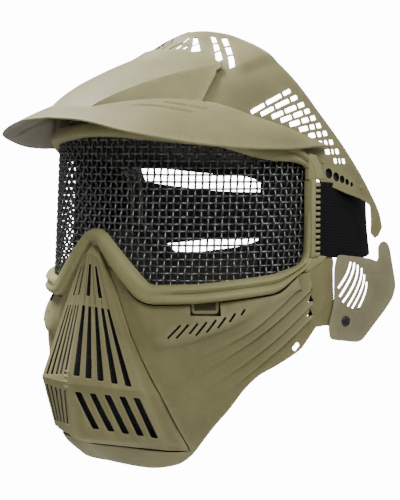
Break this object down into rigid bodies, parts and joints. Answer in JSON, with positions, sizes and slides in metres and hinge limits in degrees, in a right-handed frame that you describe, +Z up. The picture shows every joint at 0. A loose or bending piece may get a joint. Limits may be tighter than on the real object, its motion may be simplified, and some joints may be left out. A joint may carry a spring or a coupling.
{
  "type": "airsoft full face mask",
  "caption": "Full face mask with a woven wire goggle, a lower mask with a breather grill, a slotted head guard with a visor, ear guards and an elastic strap.",
  "frame": {"origin": "middle of the wearer's head at eye level, where the head carries the mask", "axes": "+X towards the wearer's left, +Y towards the back of the head, +Z up; the face looks along -Y"},
  "size_m": [0.2044, 0.2305, 0.2486],
  "materials": {
    "tan_plastic": "satin moulded",
    "olive_plastic": "satin flexible moulding",
    "grey_tan_plastic": "satin moulded",
    "black_wire": "black coated woven wire",
    "black_foam": "closed-cell foam with a fine nap",
    "black_elastic": "ribbed woven elastic",
    "black_rivet": "gloss"
  },
  "bodies": {
    "root": {"goggle_frame": "olive_plastic", "mesh_lens": "black_wire", "face_pad": "black_foam", "lower_mask": "tan_plastic", "mouth_grill": "tan_plastic", "head_guard": "tan_plastic", "visor": "tan_plastic", "ear_guard_left": "grey_tan_plastic", "ear_guard_right": "grey_tan_plastic", "ear_stud_left": "black_rivet", "ear_stud_right": "black_rivet", "head_strap": "black_elastic"}
  },
  "joints": []
}
